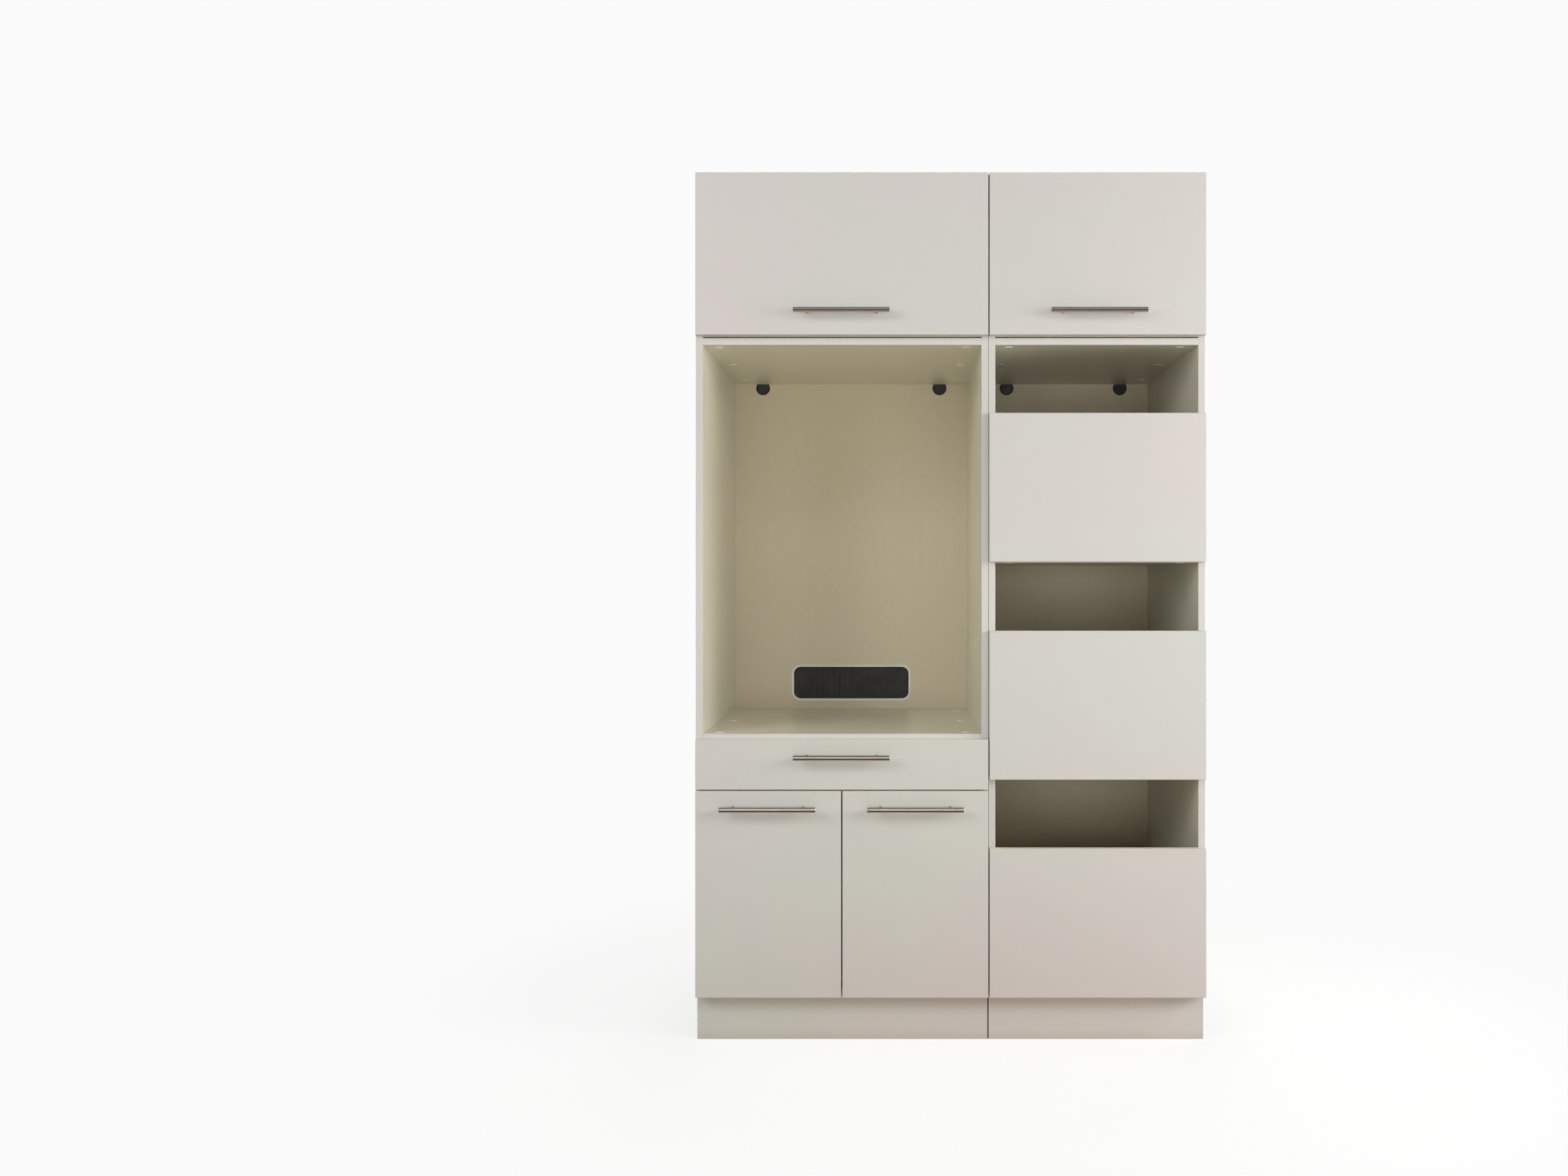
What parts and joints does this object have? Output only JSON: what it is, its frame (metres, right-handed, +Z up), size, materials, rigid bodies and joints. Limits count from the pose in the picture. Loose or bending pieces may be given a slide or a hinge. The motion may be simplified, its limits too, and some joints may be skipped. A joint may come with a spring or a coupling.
{
  "type": "laundry cabinet",
  "caption": "Tall laundry cabinet: appliance niche over drawer and doors, open column with pull-outs, upper units with lift-up flaps.",
  "frame": {"origin": "on the floor, at the centre of the whole outline, handles included", "axes": "+Z up, fronts face -Y, +X to the right seen from the front"},
  "size_m": [1.175, 0.6804, 2],
  "materials": {
    "case_board": "pale greige melamine, satin",
    "front_board": "pale greige melamine, matt",
    "back_board": "pale greige coated hardboard",
    "box_board": "pale melamine",
    "plinth_board": "pale greige melamine, matt",
    "handle_steel": "fine brushed",
    "fitting_steel": "nickel plated",
    "runner_enamel": "white enamel",
    "stay_enamel": "dark grey enamel",
    "black_plastic": "moulded",
    "white_plastic": "moulded"
  },
  "bodies": {
    "carcass": {"adjustable_shelf": "case_board", "cam_caps": "white_plastic", "cam_connectors": "fitting_steel", "column_back_panel": "back_board", "column_base_board": "case_board", "column_shelves": "case_board", "column_side_left": "case_board", "column_side_right": "case_board", "column_top_board": "case_board", "front_cross_rail": "case_board", "hinge_arms": "fitting_steel", "joining_fittings": "fitting_steel", "levelling_feet": "black_plastic", "niche_back_panel": "back_board", "niche_base_board": "case_board", "niche_floor_board": "case_board", "niche_side_left": "case_board", "niche_side_right": "case_board", "niche_top_board": "case_board", "plinth_boards": "plinth_board", "plinth_clips": "black_plastic", "runner_rails": "runner_enamel", "shelf_pins": "fitting_steel", "stay_brackets": "fitting_steel", "upper_back_panels": "back_board", "upper_left_case": "case_board", "upper_right_case": "case_board", "vent_caps": "black_plastic", "wall_brackets": "fitting_steel"},
    "drawer": {"drawer_front": "front_board", "drawer_box": "box_board", "drawer_handle": "handle_steel", "drawer_slides": "runner_enamel"},
    "door_left": {"door_left": "front_board", "door_left_handle": "handle_steel", "door_left_cups": "fitting_steel"},
    "door_left_link": {"door_left_links": "fitting_steel"},
    "door_right": {"door_right": "front_board", "door_right_handle": "handle_steel", "door_right_cups": "fitting_steel"},
    "door_right_link": {"door_right_links": "fitting_steel"},
    "flap_left": {"flap_left": "front_board", "flap_left_handle": "handle_steel", "flap_left_fittings": "fitting_steel"},
    "stay_tube_left": {"stay_tubes_left": "stay_enamel"},
    "stay_rod_left": {"stay_rods_left": "fitting_steel"},
    "flap_right": {"flap_right": "front_board", "flap_right_handle": "handle_steel", "flap_right_fittings": "fitting_steel"},
    "stay_tube_right": {"stay_tubes_right": "stay_enamel"},
    "stay_rod_right": {"stay_rods_right": "fitting_steel"},
    "pullout_1": {"pullout_1_front": "front_board", "pullout_1_tray": "box_board", "pullout_1_slides": "runner_enamel"},
    "pullout_2": {"pullout_2_front": "front_board", "pullout_2_tray": "box_board", "pullout_2_slides": "runner_enamel"},
    "pullout_3": {"pullout_3_front": "front_board", "pullout_3_tray": "box_board", "pullout_3_slides": "runner_enamel"}
  },
  "joints": [
    {"name": "flap_left_hinge", "type": "hinge", "parent": "carcass", "child": "flap_left", "pos_m": [-0.25, -0.29025, 1.9985], "axis": [-1, 0, 0], "range_deg": [0, 85]},
    {"name": "stay_tube_left_pivot", "type": "hinge", "parent": "carcass", "child": "stay_tube_left", "pos_m": [-0.25, -0.13246, 1.972], "axis": [-1, 0, 0], "range_deg": [0, 42.5]},
    {"name": "stay_rod_left_pivot", "type": "hinge", "parent": "flap_left", "child": "stay_rod_left", "pos_m": [-0.25, -0.27625, 1.83911], "axis": [-1, 0, 0], "range_deg": [-42.5, 0]},
    {"name": "flap_right_hinge", "type": "hinge", "parent": "carcass", "child": "flap_right", "pos_m": [0.3375, -0.29025, 1.9985], "axis": [-1, 0, 0], "range_deg": [0, 85]},
    {"name": "stay_tube_right_pivot", "type": "hinge", "parent": "carcass", "child": "stay_tube_right", "pos_m": [0.3375, -0.13246, 1.972], "axis": [-1, 0, 0], "range_deg": [0, 42.5]},
    {"name": "stay_rod_right_pivot", "type": "hinge", "parent": "flap_right", "child": "stay_rod_right", "pos_m": [0.3375, -0.27625, 1.83911], "axis": [-1, 0, 0], "range_deg": [-42.5, 0]},
    {"name": "door_left_hinge", "type": "hinge", "parent": "carcass", "child": "door_left", "pos_m": [-0.586, -0.30825, 0.3425], "axis": [0, 0, -1], "range_deg": [0, 90]},
    {"name": "door_left_link_pivot", "type": "hinge", "parent": "carcass", "child": "door_left_link", "pos_m": [-0.566, -0.29775, 0.3425], "axis": [0, 0, -1], "range_deg": [0, 90]},
    {"name": "door_right_hinge", "type": "hinge", "parent": "carcass", "child": "door_right", "pos_m": [0.086, -0.30825, 0.3425], "axis": [0, 0, 1], "range_deg": [0, 90]},
    {"name": "door_right_link_pivot", "type": "hinge", "parent": "carcass", "child": "door_right_link", "pos_m": [0.066, -0.29775, 0.3425], "axis": [0, 0, 1], "range_deg": [0, 90]},
    {"name": "drawer_slide", "type": "slide", "parent": "carcass", "child": "drawer", "axis": [0, -1, 0], "range_m": [0, 0.4]},
    {"name": "pullout_1_slide", "type": "slide", "parent": "carcass", "child": "pullout_1", "axis": [0, -1, 0], "range_m": [0, 0.4]},
    {"name": "pullout_2_slide", "type": "slide", "parent": "carcass", "child": "pullout_2", "axis": [0, -1, 0], "range_m": [0, 0.4]},
    {"name": "pullout_3_slide", "type": "slide", "parent": "carcass", "child": "pullout_3", "axis": [0, -1, 0], "range_m": [0, 0.4]}
  ],
  "couplings": [
    {"joint": "stay_tube_left_pivot", "follows": "flap_left_hinge", "ratio": 0.5},
    {"joint": "stay_rod_left_pivot", "follows": "flap_left_hinge", "ratio": -0.5},
    {"joint": "stay_tube_right_pivot", "follows": "flap_right_hinge", "ratio": 0.5},
    {"joint": "stay_rod_right_pivot", "follows": "flap_right_hinge", "ratio": -0.5},
    {"joint": "door_left_link_pivot", "follows": "door_left_hinge", "ratio": 1},
    {"joint": "door_right_link_pivot", "follows": "door_right_hinge", "ratio": 1}
  ]
}
